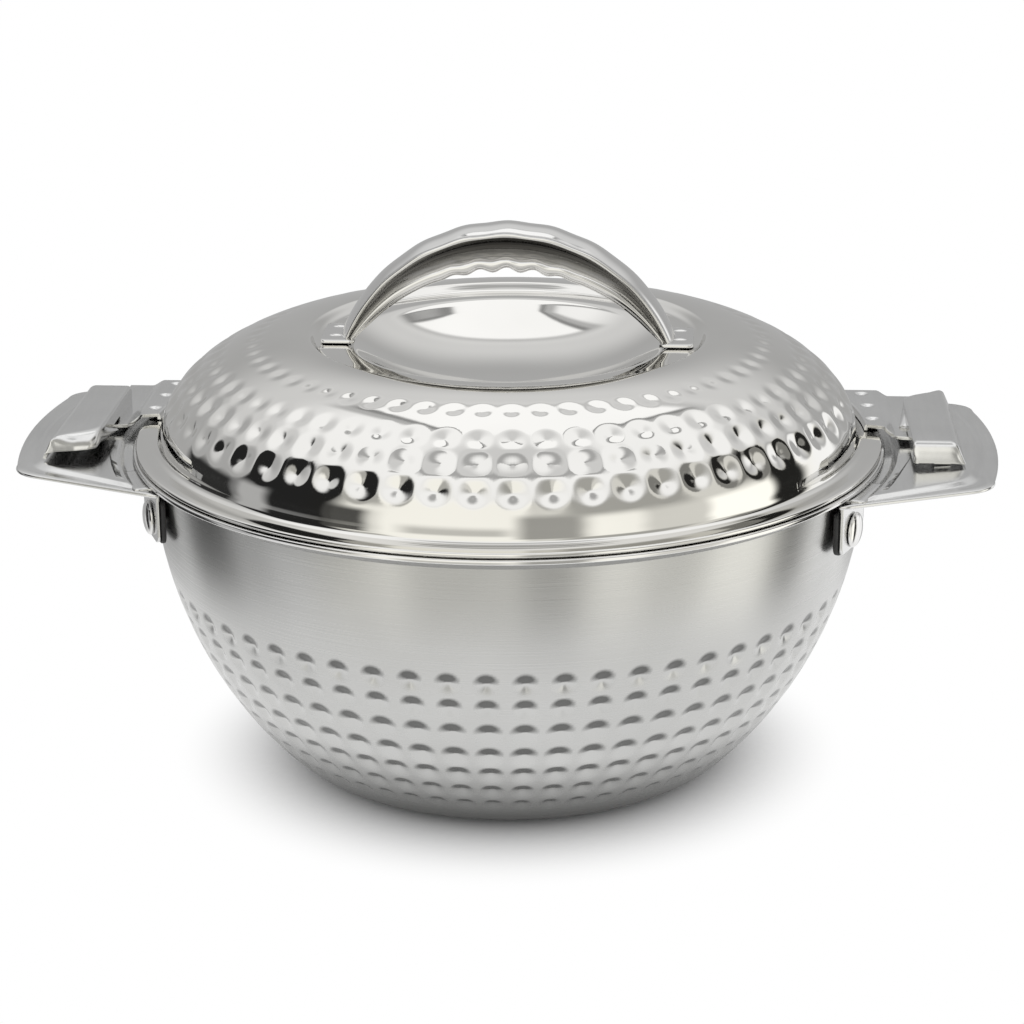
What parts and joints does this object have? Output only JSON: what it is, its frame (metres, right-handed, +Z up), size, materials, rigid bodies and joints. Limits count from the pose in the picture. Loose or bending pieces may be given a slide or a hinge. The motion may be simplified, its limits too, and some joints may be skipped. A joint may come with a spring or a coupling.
{
  "type": "insulated casserole",
  "caption": "Insulated serving casserole: double-walled steel bowl with side handles and a domed, foam-filled lid that turns a few degrees to lock and lifts off.",
  "frame": {"origin": "middle of the base, on the surface the casserole stands on", "axes": "+Z up, +X towards the right-hand side handle, -Y towards the viewer"},
  "size_m": [0.3382, 0.262, 0.1925],
  "materials": {
    "satin_steel": "fine satin stainless steel",
    "polished_steel": "mirror-polished stainless steel",
    "handle_steel": "pressed stainless steel, lightly polished",
    "foam": "rigid insulating foam",
    "silicone": "soft food-safe silicone",
    "dark_rubber": "matt black"
  },
  "bodies": {
    "bowl": {"outer_shell": "satin_steel", "inner_liner": "polished_steel", "rim_ring": "polished_steel", "bowl_insulation": "foam", "base_plate": "satin_steel", "side_handle_right": "handle_steel", "side_handle_left": "handle_steel", "keeper_right": "handle_steel", "keeper_left": "handle_steel", "spacer_pad_right_front": "dark_rubber", "spacer_pad_right_back": "dark_rubber", "spacer_pad_left_front": "dark_rubber", "spacer_pad_left_back": "dark_rubber", "rivet_right_front": "polished_steel", "rivet_right_back": "polished_steel", "rivet_left_front": "polished_steel", "rivet_left_back": "polished_steel", "rivet_washer_right_front": "satin_steel", "rivet_washer_right_back": "satin_steel", "rivet_washer_left_front": "satin_steel", "rivet_washer_left_back": "satin_steel"},
    "seal": {"seal_ring": "silicone"},
    "lid": {"lid_shell": "polished_steel", "lid_pan": "polished_steel", "lid_insulation": "foam", "top_handle": "polished_steel", "lid_strap_right": "handle_steel", "lid_strap_left": "handle_steel", "lock_cap_right": "handle_steel", "lock_cap_left": "handle_steel"}
  },
  "joints": [
    {"name": "lid_lift", "type": "slide", "parent": "bowl", "child": "seal", "axis": [0, 0, 1], "range_m": [0, 0.15]},
    {"name": "lid_turn", "type": "hinge", "parent": "seal", "child": "lid", "pos_m": [0, 0, 0.1161], "axis": [0, 0, -1], "range_deg": [0, 3.8]}
  ]
}
